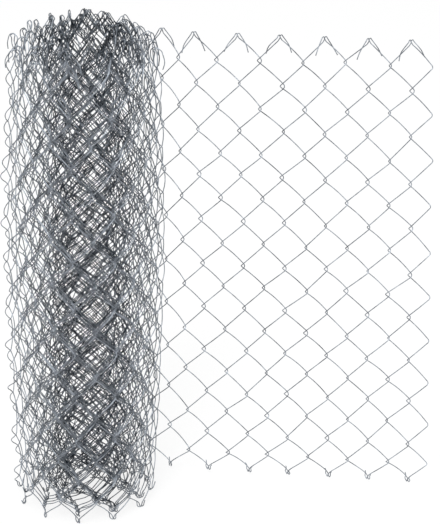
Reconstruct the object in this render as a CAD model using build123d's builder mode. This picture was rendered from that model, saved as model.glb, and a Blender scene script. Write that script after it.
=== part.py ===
"""A roll of woven chain link fencing that stands on its end, with its free end drawn out to one side.

The rolled-up fabric is one turned solid with a bore, and its turns show as a spiral of steps on both ends.
The free end is modelled wire by wire: each picket is a flat coil of wire, hooked into the next one.
Millimetres, +Z up, the roll's axis on Z and the floor at Z = 0.
"""

import os
from math import cos, radians, sin, sqrt

from build123d import *

# Woven fabric
wire_diameter = 1.8
diamond_height = 90.0  # one full turn of a picket's coil
diamond_width = 78.0  # two pickets side by side
diamonds_high = 10
coil_depth = 6.0  # between the front and back runs of a picket, wire centre to wire centre
hook_clearance = 0.3  # left between two wires where one hooks round the other

# Selvage: each wire's two ends are bent over and hooked round the next wire's end
knuckle_rise = 5.75  # wire centre above the last crossing of the fabric
knuckle_width = 5.0
tail_angle = 62.0  # degrees below the level
top_tail = 36.0
bottom_tail = 16.0

# Rolled-up part
bore_radius = 38.0
foot_radius = 130.0
belly_radius = 148.0
rim_radius = 134.0
belly_height = 520.0
side_flats = 4  # straight bands that make up the bulging side
turns = 13
folds = 10  # flats in half a turn, as the fabric folds only where two pickets hook
loosening = 0.35  # share by which the outer turns lie further apart than the mean
level_turns = 3  # outer turns that stand flat on the floor and end level at the top
crown = 18.0  # how far the tight innermost turn stands above those
foot_rise = 9.0  # how far the turns half way in between hang off the floor

# Free end, seen from above; headings are in degrees from +X
take_off = 46.0  # where on the roll the fabric lifts off
leaf_heading = -7.0
leaf_pickets = 15
seat_clearance = 0.3  # between the first picket and the roll

# Sizes that follow from those
wire_radius = wire_diameter / 2
hexagon_radius = wire_radius * 1.0996  # a hexagon of the round wire's area
picket_pitch = diamond_width / 2
hook_reach = hexagon_radius + hook_clearance / 2
half_width = picket_pitch / 2 + hook_reach
coil_length = 4 * half_width + 2 * coil_depth
bend_climb = diamond_height * coil_depth / coil_length
first_crossing = knuckle_rise + hexagon_radius
last_crossing = first_crossing + diamonds_high * diamond_height
fabric_height = last_crossing + knuckle_rise + hexagon_radius
run_depth = coil_depth / 2
tail_depth = run_depth + 2 * hexagon_radius + hook_clearance
roll_height = fabric_height + crown
half_turns = 2 * turns
level_half_turn = half_turns - 2 * level_turns


def knuckle(crossing, way, tail):
    """The bent-over end of a picket's wire, from the last run outwards; way is 1 at the top and -1 below."""
    outer = half_width + knuckle_width
    return [
        (half_width + knuckle_width / 4, -way * run_depth, crossing + way * knuckle_rise / 2),
        (half_width + knuckle_width * 0.4, -way * run_depth / 3, crossing + way * knuckle_rise),
        (half_width + knuckle_width * 0.6, way * run_depth / 3, crossing + way * knuckle_rise),
        (outer, way * tail_depth, crossing + way * knuckle_rise / 3),
        (
            outer + tail * cos(radians(tail_angle)),
            way * tail_depth,
            crossing + way * (knuckle_rise / 3 - tail * sin(radians(tail_angle))),
        ),
    ]


def coil():
    """Corners of a picket's flat coil: the runs climb rightwards in front and leftwards behind."""
    corners = []
    for bend in range(2 * diamonds_high + 1):
        side = 1 if bend % 2 == 0 else -1
        middle = first_crossing + bend * diamond_height / 2
        corners.append((side * half_width, -side * run_depth, middle - bend_climb / 2))
        corners.append((side * half_width, side * run_depth, middle + bend_climb / 2))
    return corners[1:-1]


# One picket: its wire is swept along the coil, from the bottom knuckle to the top one
wire_corners = [
    *reversed(knuckle(first_crossing, -1, bottom_tail)),
    *coil(),
    *knuckle(last_crossing, 1, top_tail),
]
wire_start = Vector(*wire_corners[0])
with BuildPart() as picket:
    with BuildLine() as wire_path:
        Polyline(*wire_corners)
    with BuildSketch(Plane(origin=wire_start, z_dir=Vector(*wire_corners[1]) - wire_start)):
        RegularPolygon(radius=hexagon_radius, side_count=6)
    sweep(path=wire_path.line, transition=Transition.RIGHT)


def seam_radius(half_turn):
    """Distance from the axis to the seam inside the fabric, so many half turns from its inner end."""
    share = half_turn / half_turns
    return bore_radius + (belly_radius - bore_radius) * share * (1 - loosening + loosening * share)


def top_level(half_turn):
    """Height of this half turn's upper edge."""
    return fabric_height + crown * max(0, 1 - half_turn / level_half_turn)


def foot_level(half_turn):
    """Height of this half turn's lower edge."""
    midway = level_half_turn / 2
    return foot_rise * max(0, 1 - abs(half_turn - midway) / midway)


def seam(half_turn):
    """Corners of half a turn of the seam inside the fabric, which runs out clockwise."""
    corners = []
    for fold in range(folds + 1):
        place = half_turn + fold / folds
        corners.append(Vector(seam_radius(place), 0).rotate(Axis.Z, -180 * place))
    return corners


# The roll: a turned barrel with its bore, then each half turn's ends are cut to their own level
with BuildPart() as roll:
    with BuildSketch(Plane.XZ):
        with BuildLine():
            foot = (foot_radius, 0)
            belly = (belly_radius, belly_height)
            rim = (rim_radius, fabric_height)
            bulge = ThreePointArc(foot, belly, rim, mode=Mode.PRIVATE)
            side = [bulge @ (flat / side_flats) for flat in range(side_flats + 1)]
            top = [(rim_radius, roll_height), (bore_radius, roll_height)]
            Polyline(*side, *top, (bore_radius, 0), close=True)
        make_face()
    revolve(axis=Axis.Z)
    for half_turn in range(1, half_turns):
        outline = [*seam(half_turn), *reversed(seam(half_turn + 2))]
        with BuildSketch(Plane.XY.offset(top_level(half_turn))):
            Polygon(*outline, align=None)
        extrude(amount=crown, mode=Mode.SUBTRACT)
        if foot_level(half_turn) > 0:
            with BuildSketch(Plane.XY):
                Polygon(*outline, align=None)
            extrude(amount=foot_level(half_turn), mode=Mode.SUBTRACT)

# Headings of the free end's pickets: the first lies on the roll, two turn outwards, the rest run straight
seat_heading = take_off - 90
turning_heading = (seat_heading + leaf_heading) / 2
headings = [seat_heading, turning_heading, turning_heading]
headings += [leaf_heading] * (leaf_pickets - len(headings))

os.makedirs("parts", exist_ok=True)
roll.part.label = "roll"
export_step(roll.part, "parts/roll.step")

seat_gap = hexagon_radius + seat_clearance
clear_of_side = max(corner.X for corner in side) + run_depth + seat_gap
tail_place = half_width + knuckle_width
clear_of_rim = sqrt((rim_radius + seat_gap) ** 2 - tail_place**2) + tail_depth
seat_radius = max(clear_of_side, clear_of_rim)
hinge = Vector(seat_radius, 0).rotate(Axis.Z, take_off)
hinge -= Vector(picket_pitch / 2, 0).rotate(Axis.Z, seat_heading)
for number, heading in enumerate(headings, start=1):
    across = Vector(picket_pitch, 0).rotate(Axis.Z, heading)
    half_twist = 180 if number % 2 else 0  # neighbours are the same coil, turned half round
    piece = picket.part.moved(Location(hinge + across / 2, (0, 0, heading + half_twist)))
    piece.label = f"picket_{number:02d}"
    export_step(piece, f"parts/{piece.label}.step")
    hinge += across
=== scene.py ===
from math import pi, radians

import bpy
import numpy as np
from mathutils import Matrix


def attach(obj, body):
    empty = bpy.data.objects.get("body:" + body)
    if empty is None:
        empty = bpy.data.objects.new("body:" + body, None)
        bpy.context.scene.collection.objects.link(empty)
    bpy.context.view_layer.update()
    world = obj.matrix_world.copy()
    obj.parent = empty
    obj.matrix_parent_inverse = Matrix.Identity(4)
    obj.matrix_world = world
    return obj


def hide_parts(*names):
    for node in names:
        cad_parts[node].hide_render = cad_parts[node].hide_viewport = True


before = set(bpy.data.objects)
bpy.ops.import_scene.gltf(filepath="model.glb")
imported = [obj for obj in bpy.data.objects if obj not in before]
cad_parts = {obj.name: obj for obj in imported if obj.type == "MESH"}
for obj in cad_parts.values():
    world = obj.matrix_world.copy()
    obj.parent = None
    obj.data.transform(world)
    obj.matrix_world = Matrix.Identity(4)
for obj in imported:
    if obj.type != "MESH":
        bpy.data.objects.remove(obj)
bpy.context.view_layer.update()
bpy.ops.object.select_all(action="DESELECT")

# The wire: drawn steel 1.8 mm thick, dipped in molten zinc before it is woven. The zinc sets as a dull
# bluish grey skin, bright where it crystallised slowly and darker where it was wiped thin. The inner turns
# are painted darker than the free end, as painted shade for the shadow deep inside the roll.
wire_radius = 0.0009
wiped_zinc_and_painted_shade = "#232a31"
bright_zinc = "#bac1ca"
zinc_patch = 0.016
zinc_spangle = 0.004  # real spangle on wire is too fine to show, so it is drawn coarser
patch_contrast = 2.2
dull_level = 1.0
bright_level = 2.4
smooth_zinc = 0.28
rough_zinc = 0.52


def linear(hex_colour):
    """An sRGB hex colour as linear RGBA."""
    channels = [int(hex_colour[digit : digit + 2], 16) / 255 for digit in (1, 3, 5)]
    return [c / 12.92 if c <= 0.04045 else ((c + 0.055) / 1.055) ** 2.4 for c in channels] + [1.0]


def add_node(tree, kind, links=None, values=None, **settings):
    """Adds a node with its settings, its sockets' values and its links."""
    node = tree.nodes.new(kind)
    for name, value in settings.items():
        setattr(node, name, value)
    for socket, value in (values or {}).items():
        node.inputs[socket].default_value = value
    for socket, source in (links or {}).items():
        tree.links.new(source, node.inputs[socket])
    return node


galvanised = bpy.data.materials.new("galvanised_steel_wire")
galvanised.use_nodes = True
tree = galvanised.node_tree
tree.nodes.clear()
position = add_node(tree, "ShaderNodeTexCoord").outputs["Object"]
patches = add_node(
    tree, "ShaderNodeTexNoise", {"Vector": position}, {"Scale": 1 / zinc_patch, "Detail": 2.0}
).outputs["Fac"]
spangle = add_node(
    tree, "ShaderNodeTexNoise", {"Vector": position}, {"Scale": 1 / zinc_spangle, "Detail": 1.0}
).outputs["Fac"]
# each wire's tone: painted shade that darkens the inner turns, plus a random tone of its own
picket_shade_and_tone = add_node(tree, "ShaderNodeAttribute", attribute_name="picket_shade_and_tone").outputs["Fac"]
level = add_node(
    tree, "ShaderNodeMath", {0: patches, 2: picket_shade_and_tone}, {1: patch_contrast}, operation="MULTIPLY_ADD"
).outputs["Value"]
brightness = add_node(
    tree, "ShaderNodeMapRange", {"Value": level}, {"From Min": dull_level, "From Max": bright_level}
).outputs["Result"]
colour = add_node(
    tree,
    "ShaderNodeMix",
    {"Factor": brightness},
    {"A": linear(wiped_zinc_and_painted_shade), "B": linear(bright_zinc)},
    data_type="RGBA",
).outputs["Result"]
roughness = add_node(
    tree, "ShaderNodeMapRange", {"Value": spangle}, {"To Min": smooth_zinc, "To Max": rough_zinc}
).outputs["Result"]
skin = add_node(
    tree, "ShaderNodeBsdfPrincipled", {"Base Color": colour, "Roughness": roughness}, {"Metallic": 1.0}
)
add_node(tree, "ShaderNodeOutputMaterial", {"Surface": skin.outputs["BSDF"]})

# The fabric, seen from above: it is rolled up from its inner end, tight at first and loose in the last
# turns, and its last pickets are drawn off the back of the roll to the right. It bends only at its columns,
# where the pickets hook into each other.
picket_pitch = 0.039
core_radius = 0.042
wound_radius = 0.0735
loose_radius = 0.105
front_radius = 0.1429
core_spacing = 0.0030
wound_spacing = 0.0074
loose_spacing = 2 * picket_pitch / (2 * pi)  # two pickets fewer in each turn, so diamonds fall in line
front = radians(281)
slack_pickets = 15
core_shift = 0.004
middle_slump = 0.016
seat_radius = 0.1523
take_off = radians(46)
turning_pickets = 2
leaf_heading = radians(-7)
leaf_pickets = 15


def place(distance, direction):
    """A point at this distance in this direction."""
    return np.stack([distance * np.cos(direction), distance * np.sin(direction)], axis=-1)


seat_heading = take_off - pi / 2
turning_heading = (seat_heading + leaf_heading) / 2
headings = np.full(leaf_pickets, leaf_heading)
headings[0] = seat_heading
headings[1 : 1 + turning_pickets] = turning_heading
hinge = place(seat_radius, take_off) - place(picket_pitch / 2, seat_heading)
leaf_columns = hinge + np.concatenate([np.zeros((1, 2)), np.cumsum(place(picket_pitch, headings), axis=0)])

# back along the fabric: the slack pickets round the back of the roll, then the turns inside them
angles = list(np.linspace(np.arctan2(hinge[1], hinge[0]), front, slack_pickets + 1))
radii = list(np.linspace(np.hypot(hinge[0], hinge[1]), front_radius, slack_pickets + 1))
places = (core_radius, wound_radius, loose_radius)
spacings = (core_spacing, wound_spacing, loose_spacing)
while radii[-1] > core_radius:
    step = 2 * np.arcsin(picket_pitch / 2 / radii[-1])
    turn_spacing = np.interp(radii[-1], places, spacings)
    angles.append(angles[-1] + step)
    radii.append(radii[-1] - turn_spacing * step / (2 * pi))
radii = np.array(radii[:0:-1])
angles = np.array(angles[:0:-1])
wound_share = np.clip((radii - core_radius) / (front_radius - core_radius), 0, 1)
slump = 4 * middle_slump * wound_share * (1 - wound_share)
roll_columns = place(radii, angles) + place(slump, front) + place(core_shift * (1 - wound_share), 0)
columns = np.concatenate([roll_columns, leaf_columns])
roll_pickets = len(roll_columns)
pickets = len(columns) - 1

# The pickets: every wire is a flat coil whose runs climb one way in front and the other way behind. A coil
# is screwed into the edge of the last one, so each bend hooks round a bend of its neighbour. Handling has
# pulled the hooks about, bowed the runs and pushed the inner turns up.
fabric_height = 0.9135
diamond_height = 0.090
bends = 21
first_crossing = 0.00674
run_depth = 0.003
run_parts = 6
bend_radius = 0.003
bend_climb = 0.0045
free_bend_climb = 0.0042
tail_depth = 0.0053
tail_parts = 3

random = np.random.default_rng(7)
turned_in = roll_pickets - np.arange(pickets + 1)
wound = np.concatenate([wound_share, np.ones(leaf_pickets + 1)])
in_leaf = np.arange(pickets) >= roll_pickets


def fade(start, end):
    """Goes from 0 to 1 along the fabric, between two counts of pickets turned in."""
    return np.clip((turned_in - start) / (end - start), 0, 1)


def wander(reach, length):
    """Strays up to this far each way along the fabric, evened out over a number of pickets."""
    return np.convolve(random.uniform(-reach, reach, pickets + 1), np.ones(length) / length, mode="same")


# how the fabric stands: the roll bulges, leans and twists a little, and the free end leans the other way
belly_height = 0.520
foot_girth = 0.878
rim_girth = 0.888
roll_shift = 0.004
roll_lean = 0.020 / fabric_height
roll_twist = radians(-5) / fabric_height
leaf_lean = 0.024 / fabric_height
rolled = fade(-2, 2)
twisted = fade(0, 12)
drawn_out = fade(1, -4)
pinch = rolled * wound

# the inner turns have slipped up and down in the roll, and the outer ones have not
slip_reach = 0.060
lowest_slip = -0.008
highest_slip = 0.012
slipping_shares = (0.1, 0.6)
inner = np.interp(wound, slipping_shares, (1, 0))
slip = inner * np.clip(wander(slip_reach, 9), lowest_slip, highest_slip)

# the top edge is pushed up, most of all at the back and in the core
raised_side = radians(110)
back_rise = 0.026
core_rise = 0.032
rise_reach = 0.014
lowest_rise = -0.010
highest_rise = 0.042
backward = (1 + np.cos(np.arctan2(columns[:, 1], columns[:, 0]) - raised_side)) / 2
top_rise = back_rise * backward**1.5 + core_rise * (1 - wound) + wander(rise_reach, 7)
top_rise = fade(1, 7) * np.clip(top_rise, lowest_rise, highest_rise)

# the feet of the inner turns and of the free end hang off the floor, so their lowest row is squeezed, and
# the roll has settled on its own lowest row
inner_lift = 0.018
inner_lift_spread = 0.003
leaf_lift = 0.012
squeezed_heights = (0.014, 0.055)
settling = 0.009
foot_rise = fade(20, 28) * random.normal(inner_lift, inner_lift_spread, pickets + 1)
foot_rise += fade(0, -3) * leaf_lift

# the hooks are pulled about, most of all in the core, and out by up to a few millimetres
hook_play = 0.0010
core_hook_play = 0.0030
upward_play = 1.5  # times the play across
least_pull = 0.0016
most_pull = 0.0042
play = (hook_play + core_hook_play * (1 - wound) * rolled)[:, None]
drift_across = random.normal(0, play, (pickets + 1, bends))
drift_up = random.normal(0, upward_play * play, (pickets + 1, bends))
hook_pull = random.uniform(least_pull, most_pull, (pickets + 1, bends))
for edge in (0, -1):
    drift_up[:, edge] = 0
    hook_pull[:, edge] = 0
hook_pull[-1] = 0

# the runs are bowed: a little in front, more behind, and most in the slack outer turns
leaf_front_bow = 0.0006
roll_front_bow = 0.0012
slack_front_bow = 0.0022
leaf_back_bow = 0.0033
roll_back_bow = 0.0022
slack_back_bow = 0.0038
front_bow_range = (0.3, 1.7)
back_bow_range = (0.4, 1.6)
slack = fade(24, 10)[:-1]
front_bow = np.where(in_leaf, leaf_front_bow, roll_front_bow + slack_front_bow * slack)
front_bow = front_bow * random.uniform(*front_bow_range, (bends, pickets))
back_bow = np.where(in_leaf, leaf_back_bow, roll_back_bow + slack_back_bow * slack)
back_bow = back_bow * random.uniform(*back_bow_range, (bends, pickets))

# painted shade darkens the core turns, where the roll is in shadow; and every wire differs a little
leaf_tone = 0.70
outer_tone = 0.72
own_share = 0.25
painted_light_level = np.where(in_leaf, leaf_tone, outer_tone * wound[:-1] ** 2)
wire_shade_and_tone = (1 - own_share) * painted_light_level + own_share * random.uniform(0, 1, pickets)

# how far each wire's bent-over ends drop, spread, bow and flare
top_drop = random.uniform(0.026, 0.033, pickets)
top_spread = random.uniform(0.015, 0.025, pickets)
top_bow = random.uniform(0.003, 0.008, pickets)
top_flare = np.where(in_leaf, 0, random.uniform(0.002, 0.006, pickets))
top_tail = np.stack([top_drop, top_spread, top_bow, top_flare])
foot_drop = random.uniform(0.007, 0.012, pickets)
foot_spread = random.uniform(0.004, 0.008, pickets)
foot_bow = random.uniform(0.000, 0.002, pickets)
foot_flare = np.zeros(pickets)
foot_tail = np.stack([foot_drop, foot_spread, foot_bow, foot_flare])


def bulge(height):
    """The roll's girth at a height, as a share of its girth at the belly."""
    below = 1 - (1 - foot_girth) * ((belly_height - height) / belly_height) ** 2
    above = 1 - (1 - rim_girth) * ((height - belly_height) / (fabric_height - belly_height)) ** 2
    return np.where(height < belly_height, below, above)


def smooth(points, parts):
    """Rounds a line of points off into a curve through them."""
    padded = np.concatenate([2 * points[:1] - points[1:2], points, 2 * points[-1:] - points[-2:-1]])
    curve = []
    for i in range(len(points) - 1):
        before, start, end, after = padded[i : i + 4]
        for part in range(parts):
            share = part / parts
            straight = 2 * start + (end - before) * share
            bent = (2 * before - 5 * start + 4 * end - after) * share**2
            eased = (3 * start - before - 3 * end + after) * share**3
            curve.append((straight + bent + eased) / 2)
    return np.array(curve + [points[-1]])


def knuckle(across, up, side, way, drop, spread, bow, flare):
    """A wire's end, bent over and hooked behind its neighbour's; way is 1 at the top and -1 at the foot."""
    shape = [
        (0.0002, -run_depth, 0.0012),
        (0.0007, -0.7 * run_depth - 0.6 * flare, 0.0042),
        (0.0017, 0.3 * flare, 0.0055 + 0.7 * flare),
        (0.0034, 0.7 * tail_depth + flare, 0.0046 + 0.2 * flare),
        (0.0050, tail_depth + 1.3 * flare, 0.0012),
        (0.5 * spread + bow, 1.3 * tail_depth + 1.6 * flare, -0.5 * drop),
        (spread, 1.5 * tail_depth + 0.5 * flare, -drop),
    ]
    points = [[across + side * x, way * side * y, up + way * z] for x, y, z in shape]
    return np.array(points).transpose(0, 2, 1)


def centrelines(numbers):
    """The middle lines of these pickets' wires, from the foot's tail to the top's."""
    starts_right = (pickets - 1 - numbers) % 2 == 1
    line = []
    for bend in range(bends):
        side = np.where(starts_right == (bend % 2 == 0), 1, -1)
        column = numbers + (side > 0)
        across = side * picket_pitch / 2 + drift_across[column, bend]
        up = first_crossing + bend * diamond_height / 2 + drift_up[column, bend]
        reach = hook_pull[column, bend] - bend_radius
        climb = np.where(column == pickets, free_bend_climb, bend_climb)
        turns = np.radians([-90, -54, -18, 18, 54, 90])
        if bend == 0:
            foot = knuckle(across, up, side, -1, *foot_tail[:, numbers])
            turns = turns[-1:]
        if bend == bends - 1:
            top = knuckle(across, up, side, 1, *top_tail[:, numbers])
            turns = turns[:1]
        loop = [
            np.stack(
                [
                    across + side * (reach + bend_radius * np.cos(turn)),
                    side * run_depth * np.sin(turn),
                    up + climb * turn / (pi / 2),
                ],
                axis=1,
            )
            for turn in turns
        ]
        run = []
        if bend > 0:
            bow = np.where(side < 0, back_bow[bend, numbers], -front_bow[bend, numbers])
            for share in np.arange(1, run_parts) / run_parts:
                point = line[-1] * (1 - share) + loop[0] * share
                point[:, 1] += bow * 4 * share * (1 - share)
                run.append(point)
        line += run + loop
    foot = smooth(np.concatenate([line[:1], foot]), tail_parts)[::-1]
    top = smooth(np.concatenate([line[-1:], top]), tail_parts)
    return np.concatenate([foot[:-1], np.array(line), top[1:]]).transpose(1, 0, 2)


def stand(numbers, local):
    """Puts pickets in their places in the fabric, and leans, lifts and pinches them as it does."""
    start = columns[numbers]
    chord = columns[numbers + 1] - start
    along = chord / np.hypot(chord[:, 0], chord[:, 1])[:, None]
    outward = np.stack([-along[:, 1], along[:, 0]], axis=1)
    share = local[:, :, 0] / picket_pitch + 0.5

    def between(values):
        """A column's value, blended across the pickets from one column to the next."""
        return values[numbers, None] * (1 - share) + values[numbers + 1, None] * share

    height = local[:, :, 2]
    squeezed = np.interp(height, squeezed_heights, (1, 0))
    height = height + between(foot_rise) * squeezed + between(top_rise) * (height / fabric_height) ** 3
    settled = np.clip(height / (diamond_height / 2), 0, 1) ** 2
    height = height + between(slip) - between(rolled) * settling * settled
    plan = start[:, None] + chord[:, None] * share[:, :, None] + outward[:, None] * local[:, :, 1:2]
    plan *= (1 - between(pinch) * (1 - bulge(height)))[:, :, None]
    turn = (roll_twist * height * between(twisted))[:, :, None]
    plan = plan * np.cos(turn) + plan[:, :, ::-1] * (-1, 1) * np.sin(turn)
    free = between(drawn_out)
    plan[:, :, 0] += (roll_shift + roll_lean * height) * (1 - free)
    plan[:, :, 0] -= leaf_lean * (height - fabric_height / 2) * free
    return np.concatenate([plan, height[:, :, None]], axis=2)


def wire_piece(name, numbers, sides):
    """Sweeps a round section along these pickets' middle lines, as one mesh."""
    lines = stand(numbers, centrelines(numbers))
    count, rows = lines.shape[:2]
    tangent = np.gradient(lines, axis=1)
    tangent /= np.linalg.norm(tangent, axis=2, keepdims=True)
    normal = np.empty_like(tangent)
    across = np.cross(tangent[:, 0], (0.0, 0.0, 1.0))
    for row in range(rows):
        across = across - tangent[:, row] * np.sum(across * tangent[:, row], axis=1, keepdims=True)
        across = across / np.linalg.norm(across, axis=1, keepdims=True)
        normal[:, row] = across
    binormal = np.cross(tangent, normal)
    turn = 2 * pi * np.arange(sides) / sides
    ring = normal[:, :, None] * np.cos(turn)[:, None] + binormal[:, :, None] * np.sin(turn)[:, None]
    points = lines[:, :, None] + wire_radius * ring
    index = np.arange(count * rows * sides).reshape(count, rows, sides)
    beside = np.roll(index, -1, axis=2)
    walls = np.stack([index[:, :-1], beside[:, :-1], beside[:, 1:], index[:, 1:]], axis=-1).reshape(-1, 4)
    caps = np.concatenate([index[:, 0, ::-1], index[:, -1]])
    mesh = bpy.data.meshes.new(name)
    mesh.from_pydata(points.reshape(-1, 3).tolist(), [], walls.tolist() + caps.tolist())
    mesh.polygons.foreach_set("use_smooth", np.repeat([True, False], [len(walls), len(caps)]))
    # each wire carries its tone: the painted shade of the inner turns and a random share of its own
    tones = mesh.attributes.new("picket_shade_and_tone", "FLOAT", "POINT")
    tones.data.foreach_set("value", np.repeat(wire_shade_and_tone[numbers], rows * sides).astype(np.float32))
    mesh.materials.append(galvanised)
    piece = bpy.data.objects.new(name, mesh)
    bpy.context.collection.objects.link(piece)
    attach(piece, "root")
    return piece


# The roll: most of the fabric, wound tight in the middle and loosely outside, and standing on its end. Its
# own stiffness holds it together. Its wires are so many that each has only a few sides.
turn_groups = ("core_turns", "middle_turns", "outer_turns")
roll_sides = 6
groups = np.array_split(np.arange(roll_pickets), len(turn_groups))
for name, group in zip(turn_groups, groups):
    wires = wire_piece(name, group, roll_sides)
    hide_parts("roll")

# The free end: the last pickets, drawn off the roll to the right and standing by themselves. Each one takes
# the place of its plain solid.
leaf_sides = 10
for number in range(leaf_pickets):
    wire = wire_piece(f"leaf_picket_{number + 1:02d}", np.array([roll_pickets + number]), leaf_sides)
    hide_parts(f"picket_{number + 1:02d}")

# The stage: a floor of white paper in a white room, with one large soft lamp above, on the left. The paper
# is matt. It glows where it is looked at, so that it shows as white and still takes the roll's soft shadow.
floor_size = 60
plain_white = "#ffffff"
paper_glow = 0.8
room_light = 0.85


def shown_rays(tree):
    """Is 1 for the rays that show a surface: straight to the camera, mirrored in metal or through glass."""
    rays = add_node(tree, "ShaderNodeLightPath").outputs
    shown = rays["Is Camera Ray"]
    for other in ("Is Glossy Ray", "Is Transmission Ray"):
        shown = add_node(
            tree, "ShaderNodeMath", {0: shown, 1: rays[other]}, operation="MAXIMUM"
        ).outputs["Value"]
    return shown


bpy.ops.mesh.primitive_plane_add(size=floor_size)
floor = bpy.context.object
floor.name = "floor"
paper = bpy.data.materials.new("white_paper")
paper.use_nodes = True
tree = paper.node_tree
tree.nodes.clear()
glowing = add_node(
    tree, "ShaderNodeMath", {0: shown_rays(tree)}, {1: paper_glow}, operation="MULTIPLY"
).outputs["Value"]
matt = add_node(tree, "ShaderNodeBsdfDiffuse", values={"Color": linear(plain_white)})
glow = add_node(tree, "ShaderNodeEmission", values={"Color": linear(plain_white), "Strength": 1.0})
both = add_node(
    tree, "ShaderNodeMixShader", {0: glowing, 1: matt.outputs["BSDF"], 2: glow.outputs["Emission"]}
)
add_node(tree, "ShaderNodeOutputMaterial", {"Surface": both.outputs["Shader"]})
floor.data.materials.append(paper)

room = bpy.data.worlds.new("white_studio")
bpy.context.scene.world = room
room.use_nodes = True
tree = room.node_tree
tree.nodes.clear()
shown = shown_rays(tree)
dim = add_node(tree, "ShaderNodeBackground", values={"Color": linear(plain_white), "Strength": room_light})
white = add_node(tree, "ShaderNodeBackground", values={"Color": linear(plain_white), "Strength": 1.0})
both = add_node(
    tree, "ShaderNodeMixShader", {0: shown, 1: dim.outputs["Background"], 2: white.outputs["Background"]}
)
add_node(tree, "ShaderNodeOutputWorld", {"Surface": both.outputs["Shader"]})

bpy.ops.object.light_add(type="AREA", location=(-0.6, -3.2, 4.2), rotation=(radians(40), 0, radians(-12)))
lamp = bpy.context.object
lamp.data.shape = "DISK"
lamp.data.size = 2.5
lamp.data.energy = 160

# the camera stands about 4 m off and looks down by 24 degrees
bpy.ops.object.camera_add(location=(0.263, -3.621, 2.097), rotation=(radians(66), 0, 0))
camera = bpy.context.object
camera.data.lens = 146.8
camera.data.clip_end = 100
bpy.context.scene.camera = camera
bpy.context.scene.view_settings.view_transform = "Standard"
